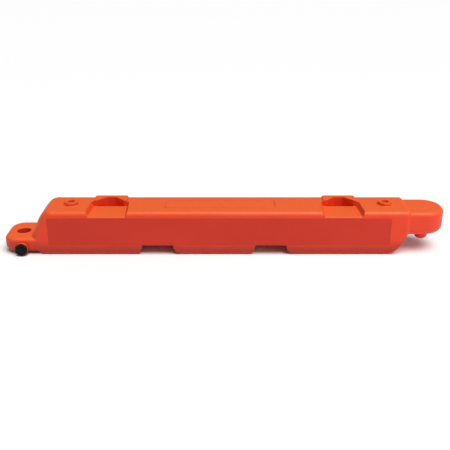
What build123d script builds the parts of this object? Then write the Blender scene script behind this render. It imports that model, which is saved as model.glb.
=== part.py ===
"""Low-profile water filled barrier: a hollow moulded tank with screw fittings and sheeting.

Frame: X along the barrier, Y across it with the drain side at -Y, Z up. The origin is on the
floor, at the middle of the overall length, midway between the two long sides.
"""
import os
from math import atan2, cos, hypot, sin, tan

from build123d import *

os.makedirs("parts", exist_ok=True)

# Driving dimensions, in millimetres
length = 2438.0  # end of the low lug to end of the high knuckle
width = 254.0
height = 254.0  # floor to the deck
wall = 6.0  # moulded skin
half = width / 2

# Hull
band_height = 50.0  # foot band that leans in towards the floor
band_lean = 9.0  # how far the band leans in on each side
sole_left = -1044.0
hull_left_low = -1087.0  # sloped end wall, where it leaves the band
hull_left_top = -991.0  # the slope carried on up to the deck
shoulder_radius = 80.0  # between the slope and the deck
shoulder_end = 1.2  # angle up the shoulder, in radians, where the deck's own edge takes over
hull_right = 1022.0
sole_edge = 9.0  # radius between the band and the sole
left_corner = 55.0  # plan radius at the sloped end
right_corner = 27.0
deck_edge = 25.0  # radius between the deck and the walls

# Fork slots and the swept-up right foot
slot_centres = (-366.0, 260.0)
slot_top_width = 173.0
slot_height = 58.0
foot_round = 50.0
sweep_start = 937.0  # where the slope under the right end would meet the floor
sweep_end = (1012.0, 125.0)
sweep_radius = 87.0

# Low lug with the socket, at the left end
lug_bottom = 15.0
lug_top = 96.0
lug_corner = 76.0
lug_half = 126.0
lug_root = -1000.0  # how far the lug reaches into the hull
lug_top_edge = 18.0
lug_bottom_edge = 30.0
socket_x = -1130.0
socket_radius = 38.0
socket_rim = 6.0  # radius round both ends of the socket

# High knuckle with the pin, at the right end
knuckle_half = 115.0
knuckle_bottom = 106.0
knuckle_top = 243.0
knuckle_end_radius = 105.0
knuckle_root = 940.0  # how far the knuckle reaches into the hull
knuckle_top_edge = 20.0
knuckle_bottom_edge = 46.0
pin_x = length / 2 - knuckle_end_radius
pin_radius = 36.0
pin_bottom = 52.0
pin_nose = 24.0

# Stations on the deck: a stepped seat, a deeper pocket behind it and a raised lip round that
station_centres = (-638.0, 651.0)
seat_height = 227.0
seat_front_half = 104.0
seat_back_half = 93.0
seat_back = 35.0
seat_flare = 24.0  # how far each side leans out over the rise
seat_rise = 50.0
seat_edge = 6.0  # radius along the front of the seat
pocket_floor = 190.0
pocket_front_half = 78.0
pocket_back = 90.0
pocket_back_half = 24.0
pocket_corner = 20.0
lip_top = 262.0
lip_half = 94.0
lip_corner = 15.0
lip_back = 121.0
lip_edge = 7.0  # radius round the top of the lip

# Raised outlines on the deck and knuckle
rib_half_spacing = 55.0
rib_width = 9.0
rib_height = 3.0
rib_corner = 16.0
rib_left = -327.0
rib_right = 292.0
knuckle_pad_left = 1004.0
knuckle_pad_right = 1152.0
knuckle_pad_height = 4.0
knuckle_pad_corner = 40.0

# Filler bosses, bushings and caps
filler_centres = (-849.0, 896.0)
boss_base_radius = 46.0
boss_top_radius = 42.0
boss_top = 257.0
neck_bottom = 222.0
insert_rib = 2.5  # how far the retaining rib of a bushing stands out
filler_bushing_radius = 37.0
filler_bore_radius = 30.0
cap_radius = 39.0
cap_top = 271.0
cap_grips = 12
cap_stud_length = 27.0
staff_radius = 20.0
staff_depth = 33.0
gasket_thickness = 2.0

# Drain boss, bushing and plug, on an axis along Y
drain_x = -1115.0
drain_z = 38.0
drain_boss_radius = 36.0
drain_face = -134.0
drain_inner = -98.0
drain_bushing_radius = 27.0
drain_bore_radius = 20.0
plug_radius = 31.0
plug_head = 13.0
plug_lobes = 6
plug_lobe_radius = 7.0
plug_lobe_circle = 28.0  # radius of the circle the lobes stand on
plug_edge = 2.0
plug_hex_radius = 15.0
plug_hex_height = 7.0
plug_stud_length = 28.0
thread_gap = 0.4  # radial gap between a stud and the bushing it screws into

# Sheeting on the long sides
sheet_left = -964.0
sheet_right = 912.0
sheet_bottom = 62.0
sheet_height = 155.0
sheet_thickness = 0.5
sheet_recess = 1.0
sheet_corner = 8.0


def plan(left, right, half_width, inset, level):
    """Rounded outline seen from above, with its own corner radius at each end."""
    with BuildSketch(Plane.XY.offset(level)) as outline:
        with Locations(((left + right) / 2, 0)):
            Rectangle(right - left, 2 * half_width)
        fillet(outline.vertices().group_by(Axis.X)[0], left_corner - inset)
        fillet(outline.vertices().group_by(Axis.X)[-1], right_corner - inset)
    return outline.sketch


def hull(inset):
    """Main body between the end fittings; an inset gives the matching inner surface."""
    right = hull_right - inset
    flank = half - inset
    with BuildPart() as band:
        loft([
            plan(sole_left + inset, right, flank - band_lean, inset, inset),
            plan(sole_left - band_lean + inset, right, flank, inset, band_height),
        ], ruled=True)
        fillet(band.faces().sort_by(Axis.Z)[0].edges(), sole_edge - inset)
    with BuildPart() as upper:
        loft([
            plan(left + inset, right, flank, inset, level)
            for level, left in shoulder(height - inset)
        ])
        fillet(upper.faces().sort_by(Axis.Z)[-1].edges(), deck_edge - inset)
        add(band)
    return upper.part


def shoulder(top):
    """Heights and left ends of the plans that give the end wall its slope and round shoulder."""
    lean = atan2(hull_left_top - hull_left_low, height - band_height)
    arc_start = height - shoulder_radius * (1 - sin(lean))
    centre_x = (
        hull_left_low
        + tan(lean) * (arc_start - band_height)
        + shoulder_radius * cos(lean)
    )
    middle = (lean + shoulder_end) / 2
    middle_height = height - shoulder_radius * (1 - sin(middle))
    return [
        (band_height, hull_left_low),
        ((band_height + arc_start) / 2, hull_left_low + tan(lean) * (arc_start - band_height) / 2),
        (arc_start, centre_x - shoulder_radius * cos(lean)),
        (middle_height, centre_x - shoulder_radius * cos(middle)),
        (top, centre_x - shoulder_radius * cos(shoulder_end)),
    ]


def low_lug(inset):
    """Flat lug at the left end, as wide as the hull."""
    end = -length / 2 + inset
    with BuildPart() as lug:
        with BuildSketch(Plane.XY.offset(lug_bottom + inset)) as outline:
            with Locations(((end + lug_root) / 2, 0)):
                Rectangle(lug_root - end, 2 * (lug_half - inset))
            fillet(outline.vertices().group_by(Axis.X)[0], lug_corner - inset)
        extrude(amount=lug_top - lug_bottom - 2 * inset)
        fillet(lug.faces().sort_by(Axis.Z)[-1].edges(), lug_top_edge - inset)
        fillet(lug.faces().sort_by(Axis.Z)[0].edges(), lug_bottom_edge - inset)
    return lug.part


def knuckle(inset):
    """Rounded knuckle at the right end, carried above the floor."""
    end = length / 2 - inset
    with BuildPart() as knob:
        with BuildSketch(Plane.XY.offset(knuckle_bottom + inset)) as outline:
            with Locations(((end + knuckle_root) / 2, 0)):
                Rectangle(end - knuckle_root, 2 * (knuckle_half - inset))
            fillet(outline.vertices().group_by(Axis.X)[-1], knuckle_end_radius - inset)
        extrude(amount=knuckle_top - knuckle_bottom - 2 * inset)
        fillet(knob.faces().sort_by(Axis.Z)[-1].edges(), knuckle_top_edge - inset)
        fillet(knob.faces().sort_by(Axis.Z)[0].edges(), knuckle_bottom_edge - inset)
    return knob.part


def fork_slot(centre, grow):
    """Cutter for one fork slot: a flat roof between two rounded foot ends."""
    top = slot_top_width / 2
    foot = top + foot_round
    radius = grow - foot_round
    with BuildPart() as slot:
        with BuildSketch(Plane.XZ.offset(-half - 20)):
            with BuildLine():
                Polyline((-foot, -10), (-foot, grow))
                RadiusArc((-foot, grow), (-top - grow, foot_round), radius)
                Polyline((-top - grow, foot_round), (-top - grow, slot_height + grow),
                         (top + grow, slot_height + grow), (top + grow, foot_round))
                RadiusArc((top + grow, foot_round), (foot, grow), radius)
                Polyline((foot, grow), (foot, -10), (-foot, -10))
            make_face()
        extrude(amount=width + 40)
    return slot.part.moved(Location((centre, 0, 0)))


def end_sweep(grow):
    """Cutter under the right end, where the foot sweeps up to the knuckle."""
    with BuildPart() as sweep_cut:
        with BuildSketch(Plane.XZ.offset(-half - 20)):
            with BuildLine():
                Polyline((sweep_start - 250, 0), (sweep_start, 0), sweep_end, (length, sweep_end[1]),
                         (length, -80), (sweep_start - 250, -80), close=True)
            face = make_face()
            fillet(face.vertices().sort_by_distance((sweep_start, 0, 0))[0], sweep_radius)
            if grow:
                offset(amount=grow, kind=Kind.INTERSECTION)
        extrude(amount=width + 40)
    return sweep_cut.part


def pin(inset):
    """Hanging pin under the knuckle, closed by a rounded nose."""
    with BuildPart() as post:
        with BuildSketch(Plane.XY.offset(pin_bottom + inset)):
            with Locations((pin_x, 0)):
                Circle(pin_radius - inset)
        extrude(amount=knuckle_bottom - pin_bottom + wall)
        fillet(post.edges().group_by(Axis.Z)[0], pin_nose - inset)
    return post.part


def seat(centre, grow):
    """Cutter for a station seat, open to the front and flaring upwards."""
    back = seat_back + grow
    front = -half - 20
    sections = []
    for rise, lean in ((0, 0), (seat_rise, seat_flare)):
        flare = grow + lean
        with BuildSketch(Plane.XY.offset(seat_height - grow + rise)) as outline:
            with BuildLine():
                Polyline(
                    (centre - seat_front_half - flare, front),
                    (centre + seat_front_half + flare, front),
                    (centre + seat_back_half + flare, back),
                    (centre - seat_back_half - flare, back),
                    close=True,
                )
            make_face()
        sections.append(outline.sketch)
    with BuildPart() as cutter:
        loft(sections, ruled=True)
    return cutter.part


def pocket(centre, grow):
    """Cutter for the deep pocket behind a seat, narrowing towards the back."""
    with BuildPart() as cutter:
        with BuildSketch(Plane.XY.offset(pocket_floor - grow)) as outline:
            with BuildLine():
                Polyline(
                    (centre - pocket_front_half, seat_back),
                    (centre + pocket_front_half, seat_back),
                    (centre + pocket_back_half, pocket_back),
                    (centre - pocket_back_half, pocket_back),
                    close=True,
                )
            make_face()
            fillet(outline.vertices().group_by(Axis.Y)[-1], pocket_corner)
            if grow:
                offset(amount=grow, kind=Kind.INTERSECTION)
        extrude(amount=height - pocket_floor + 60)
    return cutter.part


def lip(centre, inset):
    """Raised block on the deck that the pocket is sunk into."""
    depth = lip_back - seat_back - inset
    with BuildPart() as block:
        with BuildSketch(Plane.XY.offset(height - 40)) as outline:
            with Locations((centre, seat_back + depth / 2)):
                Rectangle(2 * (lip_half - inset), depth)
            fillet(outline.vertices().group_by(Axis.Y)[-1], lip_corner - inset)
        extrude(amount=40 + lip_top - height - inset)
        top = block.faces().sort_by(Axis.Z)[-1]
        fillet(top.edges().filter_by_position(Axis.Y, seat_back + 1, width), lip_edge - inset)
    return block.part


def insert_shape(radius, span, gap):
    """Outside of a moulded-in bushing, with one retaining rib half way along it."""
    with BuildPart() as shape:
        Cylinder(radius + gap, span, align=(Align.CENTER, Align.CENTER, Align.MIN))
        with Locations((0, 0, span / 2)):
            Cylinder(radius + insert_rib + gap, 5 + 2 * gap)
    return shape.part


def bushing(radius, bore, span):
    """Moulded-in bushing standing on the origin."""
    with BuildPart() as ring:
        add(insert_shape(radius, span, 0))
        Cylinder(bore, span, align=(Align.CENTER, Align.CENTER, Align.MIN), mode=Mode.SUBTRACT)
        chamfer(ring.edges().group_by(Axis.Z)[-1].sort_by(SortBy.RADIUS)[0], 1)
    return ring.part


def filled_shape(inset):
    """Whole moulding as one solid: the outside at inset 0, the tank space at inset = wall."""
    with BuildPart() as shape:
        add(hull(inset))
        for centre in station_centres:
            add(lip(centre, inset))
        for centre in slot_centres:
            add(fork_slot(centre, inset), mode=Mode.SUBTRACT)
        for centre in station_centres:
            add(seat(centre, inset), mode=Mode.SUBTRACT)
            add(pocket(centre, inset), mode=Mode.SUBTRACT)
        add(end_sweep(inset), mode=Mode.SUBTRACT)
        add(low_lug(inset))
        add(knuckle(inset))
        add(pin(inset))
        with Locations((socket_x, 0, lug_bottom)):
            Cylinder(
                socket_radius + inset,
                lug_top - lug_bottom,
                align=(Align.CENTER, Align.CENTER, Align.MIN),
                mode=Mode.SUBTRACT,
            )
    return shape.part


def tank_space():
    """Inside of the tank, with the solid sleeves round the bushings left out."""
    with BuildPart() as space:
        add(filled_shape(wall))
        for centre in filler_centres:
            with Locations((centre, 0, neck_bottom)):
                Cylinder(
                    boss_top_radius,
                    height - neck_bottom,
                    align=(Align.CENTER, Align.CENTER, Align.MIN),
                    mode=Mode.SUBTRACT,
                )
        add(drain_boss(), mode=Mode.SUBTRACT)
    return space.part


def drain_boss():
    """Collar on the front of the lug that holds the drain bushing."""
    with BuildPart() as boss:
        with BuildSketch(Plane.XZ.offset(-drain_inner)):
            with Locations((drain_x, drain_z)):
                Circle(drain_boss_radius)
        extrude(amount=drain_inner - drain_face)
        fillet(boss.edges().group_by(Axis.Y)[0], 4)
    return boss.part


def raised_frame():
    """Plain raised outline in the middle of the deck."""
    span = rib_right - rib_left
    with BuildPart() as frame:
        with BuildSketch(Plane.XY.offset(height - 1)):
            with Locations(((rib_left + rib_right) / 2, 0)):
                RectangleRounded(span, 2 * rib_half_spacing + rib_width, rib_corner)
                RectangleRounded(
                    span - 2 * rib_width,
                    2 * rib_half_spacing - rib_width,
                    rib_corner - rib_width,
                    mode=Mode.SUBTRACT,
                )
        extrude(amount=rib_height + 1)
        fillet(frame.edges().group_by(Axis.Z)[-1], 1.5)
    return frame.part


def knuckle_pad():
    """Raised pad along the top of the knuckle."""
    span = knuckle_pad_right - knuckle_pad_left
    with BuildPart() as pad:
        with BuildSketch(Plane.XY.offset(knuckle_top - 1)) as outline:
            with Locations((knuckle_pad_left + span / 2, 0)):
                Rectangle(span, 2 * rib_half_spacing)
            fillet(outline.vertices().group_by(Axis.X)[-1], knuckle_pad_corner)
        extrude(amount=knuckle_pad_height + 1)
        fillet(pad.edges().group_by(Axis.Z)[-1], 2)
    return pad.part


def filler_boss():
    """Low cone round a filler opening, standing on the deck."""
    with BuildPart() as boss:
        Cone(
            boss_base_radius,
            boss_top_radius,
            boss_top - height + 1,
            align=(Align.CENTER, Align.CENTER, Align.MIN),
        )
    return boss.part


def film(depth, margin):
    """Sheeting panel standing on its lower edge, or its recess when a margin is given."""
    with BuildPart() as panel:
        with BuildSketch(Plane.XZ):
            with Locations(((sheet_left + sheet_right) / 2, sheet_bottom + sheet_height / 2)):
                RectangleRounded(
                    sheet_right - sheet_left + 2 * margin,
                    sheet_height + 2 * margin,
                    sheet_corner + margin,
                )
        extrude(amount=depth)
    return panel.part


def gasket(bore, radius):
    """Flat sealing ring standing on the origin, clear of the stud it sits round."""
    with BuildPart() as ring:
        with BuildSketch():
            Circle(radius)
            Circle(bore + 0.5, mode=Mode.SUBTRACT)
        extrude(amount=gasket_thickness)
        fillet(ring.edges(), 0.6)
    return ring.part


def on_core(corner):
    """Whether a corner of the plug's outline lies where a lobe meets the round core."""
    return abs(hypot(corner.X, corner.Y) - plug_radius) < 0.5


def plug_shape():
    """Lobed drain plug: its sealing face is one gasket above the origin, its stud hangs down."""
    with BuildPart() as plug:
        with BuildSketch(Plane.XY.offset(gasket_thickness)) as outline:
            Circle(plug_radius)
            with PolarLocations(plug_lobe_circle, plug_lobes, start_angle=30):
                Circle(plug_lobe_radius)
            fillet(outline.vertices().filter_by(on_core), 3)
        extrude(amount=plug_head)
        fillet(plug.edges().group_by(Axis.Z)[-1], plug_edge)
        with BuildSketch(Plane.XY.offset(gasket_thickness + plug_head)):
            RegularPolygon(plug_hex_radius, 6)
        extrude(amount=plug_hex_height)
        chamfer(plug.edges().group_by(Axis.Z)[-1], 1)
        with BuildSketch(Plane.XY.offset(gasket_thickness)):
            Circle(drain_bore_radius - thread_gap)
        extrude(amount=-plug_stud_length)
        chamfer(plug.edges().group_by(Axis.Z)[0], 2)
    return plug.part


def cap_shape():
    """Filler cap on a hollow stud, with a blind socket down its middle."""
    rim = cap_top - boss_top
    with BuildPart() as cap:
        with BuildSketch(Plane.XY.offset(gasket_thickness)):
            Circle(cap_radius)
        extrude(amount=rim - gasket_thickness, taper=8)
        fillet(cap.edges().group_by(Axis.Z)[-1], 2)
        with BuildSketch(Plane.XY.offset(gasket_thickness + 2)):
            with PolarLocations(cap_radius, cap_grips):
                Circle(3)
        extrude(amount=rim, mode=Mode.SUBTRACT)
        with BuildSketch(Plane.XY.offset(gasket_thickness)):
            Circle(filler_bore_radius - thread_gap)
        extrude(amount=-cap_stud_length)
        chamfer(cap.edges().group_by(Axis.Z)[0], 2)
        with BuildSketch(Plane.XY.offset(rim)):
            Circle(staff_radius)
        extrude(amount=-staff_depth, mode=Mode.SUBTRACT)
        chamfer(cap.edges().group_by(Axis.Z)[-1].sort_by(SortBy.RADIUS)[0], 1.5)
    return cap.part


sheet_plane = half - sheet_recess
filler_span = boss_top - neck_bottom - 2
drain_span = drain_inner - drain_face - 4
drain_seat = Location((drain_x, drain_face + drain_span, drain_z), (90, 0, 0))
on_drain = Location((drain_x, drain_face, drain_z), (90, 0, 0))

# Moulded body
with BuildPart() as barrier_body:
    add(filled_shape(0))
    seat_fronts = barrier_body.edges().filter_by_position(Axis.Z, seat_height - 0.1, seat_height + 0.1)
    fillet(seat_fronts.group_by(Axis.Y)[0], seat_edge)
    circles = barrier_body.edges().filter_by(GeomType.CIRCLE)
    fillet(circles.filter_by(lambda rim: abs(rim.radius - socket_radius) < 0.1), socket_rim)
    add(drain_boss())
    add(raised_frame())
    add(knuckle_pad())
    for centre in filler_centres:
        add(filler_boss().moved(Location((centre, 0, height - 1))))
    add(tank_space(), mode=Mode.SUBTRACT)
    add(film(10, 0.5).moved(Location((0, -sheet_plane, 0))), mode=Mode.SUBTRACT)
    add(film(10, 0.5).moved(Location((0, sheet_plane + 10, 0))), mode=Mode.SUBTRACT)
    for centre in filler_centres:
        with Locations((centre, 0, neck_bottom + 2)):
            add(insert_shape(filler_bushing_radius, filler_span, 0.05), mode=Mode.SUBTRACT)
        with Locations((centre, 0, neck_bottom - 10)):
            Cylinder(
                filler_bore_radius,
                20,
                align=(Align.CENTER, Align.CENTER, Align.MIN),
                mode=Mode.SUBTRACT,
            )
    add(
        insert_shape(drain_bushing_radius, drain_span, 0.05).moved(drain_seat),
        mode=Mode.SUBTRACT,
    )
    with Locations(Location((drain_x, drain_inner + 10, drain_z), (90, 0, 0))):
        Cylinder(
            drain_bore_radius,
            20,
            align=(Align.CENTER, Align.CENTER, Align.MIN),
            mode=Mode.SUBTRACT,
        )
barrier_body.part.label = "barrier_body"
export_step(barrier_body.part, "parts/barrier_body.step")

# Sheeting, bedded in the recesses on the long sides
with BuildPart() as front_sheeting:
    add(film(sheet_thickness, 0).moved(Location((0, -sheet_plane, 0))))
front_sheeting.part.label = "front_sheeting"
export_step(front_sheeting.part, "parts/front_sheeting.step")

with BuildPart() as rear_sheeting:
    add(film(sheet_thickness, 0).moved(Location((0, sheet_plane + sheet_thickness, 0))))
rear_sheeting.part.label = "rear_sheeting"
export_step(rear_sheeting.part, "parts/rear_sheeting.step")

# Drain fittings
with BuildPart() as drain_bushing:
    add(bushing(drain_bushing_radius, drain_bore_radius, drain_span).moved(drain_seat))
drain_bushing.part.label = "drain_bushing"
export_step(drain_bushing.part, "parts/drain_bushing.step")

with BuildPart() as drain_gasket:
    add(gasket(drain_bore_radius, plug_radius - 4).moved(on_drain))
drain_gasket.part.label = "drain_gasket"
export_step(drain_gasket.part, "parts/drain_gasket.step")

with BuildPart() as drain_plug:
    add(plug_shape().moved(on_drain))
drain_plug.part.label = "drain_plug"
export_step(drain_plug.part, "parts/drain_plug.step")

# Filler fittings, the same at both ends
for side, centre in zip(("left", "right"), filler_centres):
    on_boss = Location((centre, 0, boss_top))

    with BuildPart() as filler_bushing:
        ring = bushing(filler_bushing_radius, filler_bore_radius, filler_span)
        add(ring.moved(Location((centre, 0, neck_bottom + 2))))
    filler_bushing.part.label = f"filler_bushing_{side}"
    export_step(filler_bushing.part, f"parts/filler_bushing_{side}.step")

    with BuildPart() as filler_gasket:
        add(gasket(filler_bore_radius, cap_radius - 2).moved(on_boss))
    filler_gasket.part.label = f"filler_gasket_{side}"
    export_step(filler_gasket.part, f"parts/filler_gasket_{side}.step")

    with BuildPart() as filler_cap:
        add(cap_shape().moved(on_boss))
    filler_cap.part.label = f"filler_cap_{side}"
    export_step(filler_cap.part, f"parts/filler_cap_{side}.step")
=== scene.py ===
"""Low water filled road barrier in moulded orange polyethylene, on a pale floor in soft light.

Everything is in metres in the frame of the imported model: X along the barrier, Z up, and the
drain plug on the front, at -Y.
"""
import math

import bpy
from mathutils import Matrix, Vector


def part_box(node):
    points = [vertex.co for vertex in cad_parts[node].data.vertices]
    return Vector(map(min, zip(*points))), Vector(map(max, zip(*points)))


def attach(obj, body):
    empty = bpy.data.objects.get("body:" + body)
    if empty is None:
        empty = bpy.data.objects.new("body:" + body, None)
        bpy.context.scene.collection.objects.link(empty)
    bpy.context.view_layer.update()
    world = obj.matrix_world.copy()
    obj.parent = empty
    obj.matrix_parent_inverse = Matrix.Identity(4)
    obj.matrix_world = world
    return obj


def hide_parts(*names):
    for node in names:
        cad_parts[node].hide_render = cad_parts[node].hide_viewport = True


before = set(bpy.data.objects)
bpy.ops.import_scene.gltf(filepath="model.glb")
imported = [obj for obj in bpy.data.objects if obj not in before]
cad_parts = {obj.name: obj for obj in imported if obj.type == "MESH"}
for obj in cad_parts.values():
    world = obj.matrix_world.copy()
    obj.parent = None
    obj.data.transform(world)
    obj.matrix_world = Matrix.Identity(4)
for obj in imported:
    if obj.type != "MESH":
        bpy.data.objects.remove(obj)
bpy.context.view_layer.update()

MM = 0.001
TURN = 2 * math.pi

ORANGE = (0.76, 0.046, 0.012)
ORANGE_DEEP = (0.72, 0.041, 0.011)
# Lighter orange, used for random flecks and for the painted light on upward faces.
ORANGE_FLECK_AND_LIT_TOP = (0.80, 0.112, 0.020)
# Dark red-brown for the painted shade low down.
ORANGE_PAINTED_SHADE_LOW = (0.32, 0.018, 0.008)
DUST = (0.36, 0.20, 0.14)
FILM_RED = (0.57, 0.033, 0.014)
FILM_RED_DEEP = (0.54, 0.030, 0.013)
BUSHING_BLACK = (0.016, 0.016, 0.017)
PLUG_BLACK = (0.003, 0.004, 0.005)
RUBBER_BLACK = (0.022, 0.022, 0.023)
RUBBER_BLOOM = (0.06, 0.058, 0.055)


# ---------------------------------------------------------------- materials

class Shader:
    """A new material with short ways to add and join its nodes."""

    def __init__(self, name):
        self.material = bpy.data.materials.new(name)
        self.material.use_nodes = True
        self.nodes = self.material.node_tree.nodes
        self.links = self.material.node_tree.links
        self.surface = self.nodes["Principled BSDF"]
        self.place = self.nodes.new("ShaderNodeTexCoord").outputs["Object"]

    def join(self, source, target):
        """Links an output to an input."""
        self.links.new(source, target)

    def constant(self, socket, value):
        """Sets a fixed value on one of the surface's inputs."""
        self.surface.inputs[socket].default_value = value

    def noise(self, scale, detail):
        """Noise whose features are about 1/scale metres across."""
        node = self.nodes.new("ShaderNodeTexNoise")
        node.inputs["Scale"].default_value = scale
        node.inputs["Detail"].default_value = detail
        self.join(self.place, node.inputs["Vector"])
        return node.outputs["Fac"]

    def spread(self, value, low, high, to_low=0.0, to_high=1.0):
        """Maps value from low..high to to_low..to_high, and clamps it."""
        node = self.nodes.new("ShaderNodeMapRange")
        node.inputs["From Min"].default_value = low
        node.inputs["From Max"].default_value = high
        node.inputs["To Min"].default_value = to_low
        node.inputs["To Max"].default_value = to_high
        self.join(value, node.inputs["Value"])
        return node.outputs["Result"]

    def multiply(self, first, second):
        """Product of two values."""
        node = self.nodes.new("ShaderNodeMath")
        node.operation = "MULTIPLY"
        self.join(first, node.inputs[0])
        self.join(second, node.inputs[1])
        return node.outputs["Value"]

    def axis(self, name, vector=None):
        """One coordinate of a vector, or of the place in the model, in metres."""
        node = self.nodes.new("ShaderNodeSeparateXYZ")
        self.join(vector or self.place, node.inputs["Vector"])
        return node.outputs[name]

    def facing_up(self):
        """1 where the surface faces straight up, 0 where it is upright."""
        geometry = self.nodes.new("ShaderNodeNewGeometry")
        return self.spread(self.axis("Z", geometry.outputs["True Normal"]), 0.0, 0.9)

    def mix(self, factor, first, second):
        """Colour between two colours, each a tuple or another colour's output."""
        node = self.nodes.new("ShaderNodeMix")
        node.data_type = "RGBA"
        self.join(factor, node.inputs["Factor"])
        for value, socket in ((first, node.inputs[6]), (second, node.inputs[7])):
            if isinstance(value, tuple):
                socket.default_value = (*value, 1.0)
            else:
                self.join(value, socket)
        return node.outputs[2]

    def bump(self, height, distance, normal=None):
        """Normal that follows a height of 0..1, which stands for distance metres."""
        node = self.nodes.new("ShaderNodeBump")
        node.inputs["Distance"].default_value = distance
        self.join(height, node.inputs["Height"])
        if normal is not None:
            self.join(normal, node.inputs["Normal"])
        return node.outputs["Normal"]

    def soft_edges(self, radius):
        """Normal that rounds the model's sharp edges."""
        node = self.nodes.new("ShaderNodeBevel")
        node.samples = 6
        node.inputs["Radius"].default_value = radius
        return node.outputs["Normal"]


def moulded_plastic(name, roughness=0.42, edge=6 * MM):
    """Rotationally moulded polyethylene, slightly wavy, with painted light on its upward faces,
    painted shade low down and a little dust at the floor.
    """
    s = Shader(name)
    cloud = s.spread(s.noise(scale=7.0, detail=3.0), 0.35, 0.65)
    fleck = s.spread(s.noise(scale=900.0, detail=1.0), 0.62, 0.75, 0.0, 0.35)
    base = s.mix(cloud, ORANGE, ORANGE_DEEP)
    # Painted light: faces that point up are made lighter and more orange, standing in for the lit
    # top and its sheen.
    base = s.mix(s.facing_up(), base, ORANGE_FLECK_AND_LIT_TOP)
    base = s.mix(fleck, base, ORANGE_FLECK_AND_LIT_TOP)
    height = s.axis("Z")
    # Painted shade: darker towards the bottom over the lowest 90 mm, standing in for the shade on
    # faces that lean in and down.
    base = s.mix(s.spread(height, 30 * MM, 90 * MM, 0.75, 0.0), base, ORANGE_PAINTED_SHADE_LOW)
    low_dust = s.spread(height, 2 * MM, 22 * MM, 0.12, 0.0)
    dust = s.multiply(low_dust, s.spread(s.noise(scale=45.0, detail=4.0), 0.4, 0.7))
    base = s.mix(dust, base, DUST)
    s.join(base, s.surface.inputs["Base Color"])
    gloss = s.spread(s.noise(scale=30.0, detail=4.0), 0.3, 0.7, roughness - 0.05, roughness + 0.07)
    s.join(gloss, s.surface.inputs["Roughness"])
    normal = s.soft_edges(edge)
    normal = s.bump(s.noise(scale=14.0, detail=1.0), 0.9 * MM, normal)
    normal = s.bump(s.noise(scale=650.0, detail=2.0), 0.05 * MM, normal)
    s.join(normal, s.surface.inputs["Normal"])
    s.constant("Specular IOR Level", 0.3)
    s.constant("Subsurface Weight", 0.06)
    s.constant("Subsurface Radius", (0.006, 0.002, 0.001))
    s.constant("Subsurface Scale", 1.0)
    return s.material


def film(name):
    """Smooth sheeting with a very faint cell pattern under its surface."""
    s = Shader(name)
    cells = s.nodes.new("ShaderNodeTexVoronoi")
    cells.feature = "DISTANCE_TO_EDGE"
    cells.inputs["Scale"].default_value = 260.0
    cells.inputs["Randomness"].default_value = 0.25
    s.join(s.place, cells.inputs["Vector"])
    wall_of_cell = s.spread(cells.outputs["Distance"], 0.02, 0.08, 0.30, 0.0)
    cloud = s.spread(s.noise(scale=3.0, detail=2.0), 0.35, 0.65)
    base = s.mix(cloud, FILM_RED, FILM_RED_DEEP)
    base = s.mix(wall_of_cell, base, tuple(c * 1.25 for c in FILM_RED))
    s.join(base, s.surface.inputs["Base Color"])
    gloss = s.spread(s.noise(scale=60.0, detail=3.0), 0.3, 0.7, 0.46, 0.56)
    s.join(gloss, s.surface.inputs["Roughness"])
    s.join(s.bump(s.noise(scale=9.0, detail=1.0), 0.35 * MM), s.surface.inputs["Normal"])
    s.constant("Specular IOR Level", 0.22)
    return s.material


def dark_plastic(name, colour, roughness):
    """Injection moulded dark plastic with a fine spark-eroded texture."""
    s = Shader(name)
    wear = s.spread(s.noise(scale=120.0, detail=4.0), 0.55, 0.8, 0.0, 0.5)
    base = s.mix(wear, colour, tuple(c * 1.6 + 0.002 for c in colour))
    s.join(base, s.surface.inputs["Base Color"])
    gloss = s.spread(s.noise(scale=90.0, detail=3.0), 0.3, 0.7, roughness - 0.06, roughness + 0.08)
    s.join(gloss, s.surface.inputs["Roughness"])
    normal = s.bump(s.noise(scale=2200.0, detail=1.0), 0.04 * MM, s.soft_edges(0.6 * MM))
    s.join(normal, s.surface.inputs["Normal"])
    s.constant("Specular IOR Level", 0.13)
    return s.material


def rubber(name):
    """Matt black rubber with a faint bloom."""
    s = Shader(name)
    bloom = s.spread(s.noise(scale=200.0, detail=3.0), 0.45, 0.75)
    s.join(s.mix(bloom, RUBBER_BLACK, RUBBER_BLOOM), s.surface.inputs["Base Color"])
    s.join(s.spread(bloom, 0.0, 1.0, 0.72, 0.88), s.surface.inputs["Roughness"])
    s.join(s.bump(s.noise(scale=1500.0, detail=2.0), 0.03 * MM), s.surface.inputs["Normal"])
    return s.material


body_plastic = moulded_plastic("orange_polyethylene")
cap_plastic = moulded_plastic("orange_cap_plastic", 0.38, 0.6 * MM)
sheeting = film("red_sheeting")
bushing_plastic = dark_plastic("black_bushing_plastic", BUSHING_BLACK, 0.45)
plug_plastic = dark_plastic("black_plug_plastic", PLUG_BLACK, 0.36)
gasket_rubber = rubber("gasket_rubber")


def finish_node(name, material):
    """Gives a CAD node its only material."""
    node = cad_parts[name]
    node.data.materials.clear()
    node.data.materials.append(material)


finish_node("barrier_body", body_plastic)
finish_node("front_sheeting", sheeting)
finish_node("rear_sheeting", sheeting)
for gasket in ("drain_gasket", "filler_gasket_left", "filler_gasket_right"):
    finish_node(gasket, gasket_rubber)


# ---------------------------------------------------------------- screw fittings

SEGMENTS = 96  # points once round a turned piece
PITCH = 5 * MM
THREAD_DEPTH = 1.5 * MM
THREAD_RUN_OUT = 3 * MM  # over which a thread fades in and out
ROWS_PER_TURN = 10

FRONT = (0, -1, 0)
UP = (0, 0, 1)

# Sizes of the screw fittings. Levels of the plug and caps are from the outer face of their bushing.
SEAL = 2 * MM  # thickness of the gasket under a plug or cap
THREAD_GAP = 0.5 * MM
THREAD_TOP = -1 * MM

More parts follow.
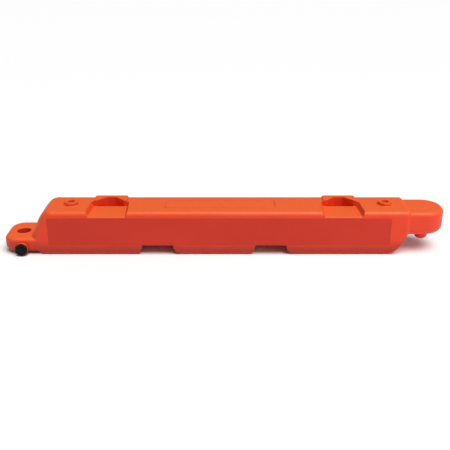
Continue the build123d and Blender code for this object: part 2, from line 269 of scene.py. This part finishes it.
PLUG_STUD = 19.6 * MM
PLUG_STUD_END = -26 * MM
PLUG_CORE = 31 * MM
PLUG_LOBE_CIRCLE = 28 * MM
PLUG_LOBE = 7 * MM
PLUG_LOBES = 6
PLUG_FACE = 15 * MM
PLUG_EDGE = 2 * MM
PLUG_DISH = (24 * MM, 23 * MM, 18 * MM)  # radii of the shallow dish round the grip
PLUG_DISH_DEPTH = 0.8 * MM
GRIP = 15 * MM
GRIP_TOP = 22 * MM
GRIP_EDGE = 1.2 * MM

CAP_STUD = 29.6 * MM
CAP_STUD_END = -25 * MM
CAP_RIM = 39 * MM
CAP_RIM_TOP = 37.4 * MM
CAP_TOP = 14 * MM
CAP_EDGE = 2 * MM
CAP_GROOVES = 12
CAP_GROOVE_HALF = 3 * MM
STAFF_SOCKET = 20 * MM
STAFF_SOCKET_FLOOR = -19 * MM

STUD_CHAMFER = 2 * MM
BUSHING_RIB = 2.5 * MM  # how far the retaining rib stands out, and half its height
DRAIN_BUSHING = (27 * MM, 20 * MM)  # outer radius and bore
FILLER_BUSHING = (37 * MM, 30 * MM)


def ring_of(row, level):
    """Points once round the Z axis. row is a radius, or a function of the angle."""
    points = []
    for i in range(SEGMENTS):
        angle = TURN * i / SEGMENTS
        radius = row(angle) if callable(row) else row
        points.append((radius * math.cos(angle), radius * math.sin(angle), level))
    return points


def turned(name, rows, closed_ring=False):
    """Mesh made of rows round the Z axis; the ends close at a point, or join each other."""
    points = []
    for row, level in rows:
        points += ring_of(row, level)
    count = len(rows)
    faces = []
    for j in range(count if closed_ring else count - 1):
        low = j * SEGMENTS
        high = (j + 1) % count * SEGMENTS
        for i in range(SEGMENTS):
            k = (i + 1) % SEGMENTS
            faces.append((low + i, low + k, high + k, high + i))
    if not closed_ring:
        for end, flip in ((0, True), (count - 1, False)):
            points.append((0, 0, rows[end][1]))
            for i in range(SEGMENTS):
                k = (i + 1) % SEGMENTS
                edge = (end * SEGMENTS + i, end * SEGMENTS + k)
                faces.append((*(edge[::-1] if flip else edge), len(points) - 1))
    mesh = bpy.data.meshes.new(name)
    mesh.from_pydata(points, [], faces)
    mesh.shade_smooth()
    return bpy.data.objects.new(name, mesh)


def thread_rows(radius, depth, low, high):
    """Rows of a right-hand thread cut into radius; depth below zero makes an inside thread."""
    rows = []
    count = round((high - low) / PITCH * ROWS_PER_TURN)
    for j in range(count + 1):
        level = low + (high - low) * j / count
        fade = min(1.0, (level - low) / THREAD_RUN_OUT, (high - level) / THREAD_RUN_OUT)

        def row(angle, level=level, fade=fade):
            phase = (level / PITCH - angle / TURN) % 1.0
            ridge = max(0.0, min(1.0, 2.6 - abs(phase - 0.5) * 7.0))
            return radius - depth * fade * (1.0 - ridge)

        rows.append((row, level))
    return rows


def place(piece, at, body, material, node, outward):
    """Puts a turned piece in the scene, in the place of its CAD node."""
    turn = Vector(UP).rotation_difference(Vector(outward)).to_matrix().to_4x4()
    piece.data.transform(Matrix.Translation(at) @ turn)
    bpy.context.scene.collection.objects.link(piece)
    piece.data.materials.append(material)
    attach(piece, body)
    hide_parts(node)


def lobed(core, centre, lobe, count, turned_by):
    """Outline of a disc of radius core with round lobes that stand on a circle of radius centre."""
    def row(angle):
        step = TURN / count
        off = (angle - turned_by + step / 2) % step - step / 2
        reach = lobe ** 2 - (centre * math.sin(off)) ** 2
        peak = centre * math.cos(off) + math.sqrt(reach) if reach > 0 else 0.0
        return max(core, peak)
    return row


def inset(row, amount):
    """The same outline, smaller by amount."""
    return lambda angle: (row(angle) if callable(row) else row) - amount


def hexagon(radius):
    """Outline of a hexagon with corners at radius."""
    def row(angle):
        off = angle % (TURN / 6) - TURN / 12
        return radius * math.cos(TURN / 12) / math.cos(off)
    return row


def rounded_edge(row, level, radius, steps=4):
    """Rows over a rounded outer edge, from the side up to a flat top at level."""
    rows = []
    for j in range(steps + 1):
        angle = TURN / 4 * j / steps
        drop = radius * (1 - math.sin(angle))
        rows.append((inset(row, radius * (1 - math.cos(angle))), level - drop))
    return rows


def stud_rows(radius, end):
    """Threaded stud of a plug or cap, from its chamfered end up to the seal."""
    shoulder = end + STUD_CHAMFER
    rows = [(radius - STUD_CHAMFER, end), (radius, shoulder)]
    rows += thread_rows(radius, THREAD_DEPTH, shoulder + THREAD_GAP, THREAD_TOP)
    rows += [(radius, SEAL)]
    return rows


def plug_rows():
    """Drain plug from the end of its stud to the top of its grip."""
    head = lobed(PLUG_CORE, PLUG_LOBE_CIRCLE, PLUG_LOBE, PLUG_LOBES, TURN / 12)
    grip = hexagon(GRIP)
    lip = 0.6 * MM
    rim, wall, foot = PLUG_DISH
    dish = PLUG_FACE - PLUG_DISH_DEPTH
    rows = stud_rows(PLUG_STUD, PLUG_STUD_END)
    rows += [(inset(head, lip), SEAL), (head, SEAL + lip)]
    rows += rounded_edge(head, PLUG_FACE, PLUG_EDGE)
    rows += [(rim, PLUG_FACE), (wall, dish), (foot, dish)]
    rows += [(inset(grip, -lip), PLUG_FACE), (grip, PLUG_FACE + lip)]
    rows += rounded_edge(grip, GRIP_TOP, GRIP_EDGE)
    return rows


def grooved(radius, depth):
    """Outline of a cap with finger grooves round it."""
    step = TURN / CAP_GROOVES

    def row(angle):
        off = (angle + step / 2) % step - step / 2
        return radius - depth * max(0.0, 1 - (off * radius / CAP_GROOVE_HALF) ** 2)
    return row


def cap_rows():
    """Filler cap from the end of its stud, over its rim and down into its socket."""
    edge = 0.5 * MM
    flange = SEAL + 1.8 * MM
    groove_foot = SEAL + 2.4 * MM
    mouth = 1.6 * MM
    rows = stud_rows(CAP_STUD, CAP_STUD_END)
    rows += [(CAP_RIM - edge, SEAL), (CAP_RIM, SEAL + edge), (CAP_RIM, flange)]
    rows += [(grooved(CAP_RIM - 0.3 * MM, 2.4 * MM), groove_foot)]
    rows += rounded_edge(grooved(CAP_RIM_TOP, 2.2 * MM), CAP_TOP, CAP_EDGE)
    rows += [(STAFF_SOCKET + mouth, CAP_TOP), (STAFF_SOCKET + edge, CAP_TOP - edge)]
    rows += [(STAFF_SOCKET, CAP_TOP - mouth), (STAFF_SOCKET, STAFF_SOCKET_FLOOR + STUD_CHAMFER)]
    rows += [(STAFF_SOCKET - STUD_CHAMFER, STAFF_SOCKET_FLOOR)]
    return rows


def bushing_rows(radius, bore, span):
    """Threaded ring with a retaining rib, from its base up the outside and down the bore."""
    rib = radius + BUSHING_RIB
    rib_foot = span / 2 - BUSHING_RIB
    rib_head = span / 2 + BUSHING_RIB
    margin = 1 * MM
    rows = [(bore + 0.6 * MM, 0.0), (radius, 0.0), (radius, rib_foot), (rib, rib_foot)]
    rows += [(rib, rib_head), (radius, rib_head), (radius, span), (bore + margin, span)]
    return rows + thread_rows(bore, -THREAD_DEPTH, margin, span - margin)[::-1]


def middle_of(node):
    """Middle of a CAD node's box."""
    low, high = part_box(node)
    return (low + high) / 2


drain_low, drain_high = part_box("drain_bushing")
drain_axis = middle_of("drain_bushing")
drain_ring = turned(
    "drain_bushing_threaded",
    bushing_rows(*DRAIN_BUSHING, drain_high.y - drain_low.y),
    closed_ring=True,
)
place(
    drain_ring,
    Vector((drain_axis.x, drain_high.y, drain_axis.z)),
    "barrier",
    bushing_plastic,
    "drain_bushing",
    FRONT,
)
drain_screw = turned("drain_plug_threaded", plug_rows())
place(
    drain_screw,
    Vector((drain_axis.x, drain_low.y, drain_axis.z)),
    "drain_closure",
    plug_plastic,
    "drain_plug",
    FRONT,
)

for side in ("left", "right"):
    neck_low, neck_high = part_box(f"filler_bushing_{side}")
    neck_axis = middle_of(f"filler_bushing_{side}")
    neck_ring = turned(
        f"filler_bushing_threaded_{side}",
        bushing_rows(*FILLER_BUSHING, neck_high.z - neck_low.z),
        closed_ring=True,
    )
    place(
        neck_ring,
        Vector((neck_axis.x, neck_axis.y, neck_low.z)),
        "barrier",
        bushing_plastic,
        f"filler_bushing_{side}",
        UP,
    )
    cap = turned(f"filler_cap_threaded_{side}", cap_rows())
    place(
        cap,
        Vector((neck_axis.x, neck_axis.y, neck_high.z)),
        f"filler_closure_{side}",
        cap_plastic,
        f"filler_cap_{side}",
        UP,
    )


# ---------------------------------------------------------------- floor, light and camera

FLOOR_REACH = 30.0
FLOOR_WHITE = (0.93, 0.93, 0.93, 1.0)
SUN_FROM = (0.25, -0.32, 1.0)
SUN_STRENGTH = 3.05
SUN_SPREAD = 45.0  # degrees of sky that it fills
FILL_AT = (2.4, -1.6, 0.9)
FILL_LOOKS_AT = (0.9, 0.0, 0.12)
FILL_SIZE = 1.0
FILL_POWER = 9.0
WORLD_STRENGTH = 0.2

LENS = 55.24
CAMERA_TARGET = (0.0065, 0.0, 0.1268)
CAMERA_ELEVATION = math.radians(23.0)
CAMERA_DISTANCE = 3.896


def studio_floor():
    """Plain pale floor, large enough to fill every view."""
    mesh = bpy.data.meshes.new("studio_floor")
    corners = [
        (-FLOOR_REACH, -FLOOR_REACH, 0),
        (FLOOR_REACH, -FLOOR_REACH, 0),
        (FLOOR_REACH, FLOOR_REACH, 0),
        (-FLOOR_REACH, FLOOR_REACH, 0),
    ]
    mesh.from_pydata(corners, [], [(0, 1, 2, 3)])
    floor = bpy.data.objects.new("studio_floor", mesh)
    bpy.context.scene.collection.objects.link(floor)
    s = Shader("studio_floor")
    s.constant("Base Color", FLOOR_WHITE)
    s.constant("Roughness", 0.9)
    mesh.materials.append(s.material)


def soft_sun(name, direction, strength, spread):
    """Even light over the whole floor, from a large patch of sky seen along a direction."""
    data = bpy.data.lights.new(name, "SUN")
    data.energy = strength
    data.angle = math.radians(spread)
    light = bpy.data.objects.new(name, data)
    light.rotation_euler = Vector(direction).to_track_quat("Z", "Y").to_euler()
    bpy.context.scene.collection.objects.link(light)


def area_light(name, at, look_at, size, power):
    """Square soft box at a point, turned to face another."""
    data = bpy.data.lights.new(name, "AREA")
    data.size = size
    data.energy = power
    light = bpy.data.objects.new(name, data)
    light.location = at
    light.rotation_euler = (Vector(look_at) - Vector(at)).to_track_quat("-Z", "Y").to_euler()
    bpy.context.scene.collection.objects.link(light)


studio_floor()
soft_sun("overhead", SUN_FROM, SUN_STRENGTH, SUN_SPREAD)
area_light("right_fill", FILL_AT, FILL_LOOKS_AT, FILL_SIZE, FILL_POWER)

def pale_studio(strength):
    """World that lights the part evenly and looks white behind the floor."""
    world = bpy.data.worlds.new("studio")
    world.use_nodes = True
    nodes = world.node_tree.nodes
    background = nodes["Background"]
    background.inputs["Color"].default_value = (1.0, 1.0, 1.0, 1.0)
    seen = nodes.new("ShaderNodeMapRange")
    seen.inputs["To Min"].default_value = strength
    seen.inputs["To Max"].default_value = 1.0
    path = nodes.new("ShaderNodeLightPath")
    links = world.node_tree.links
    links.new(path.outputs["Is Camera Ray"], seen.inputs["Value"])
    links.new(seen.outputs["Result"], background.inputs["Strength"])
    bpy.context.scene.world = world
    bpy.context.scene.view_settings.view_transform = "Standard"


pale_studio(WORLD_STRENGTH)

camera_data = bpy.data.cameras.new("camera")
camera_data.sensor_width = 36.0
camera_data.lens = LENS
camera = bpy.data.objects.new("camera", camera_data)
towards_camera = Vector((0.0, -math.cos(CAMERA_ELEVATION), math.sin(CAMERA_ELEVATION)))
camera.location = Vector(CAMERA_TARGET) + CAMERA_DISTANCE * towards_camera
camera.rotation_euler = (math.radians(90.0) - CAMERA_ELEVATION, 0.0, 0.0)
bpy.context.scene.collection.objects.link(camera)
bpy.context.scene.camera = camera
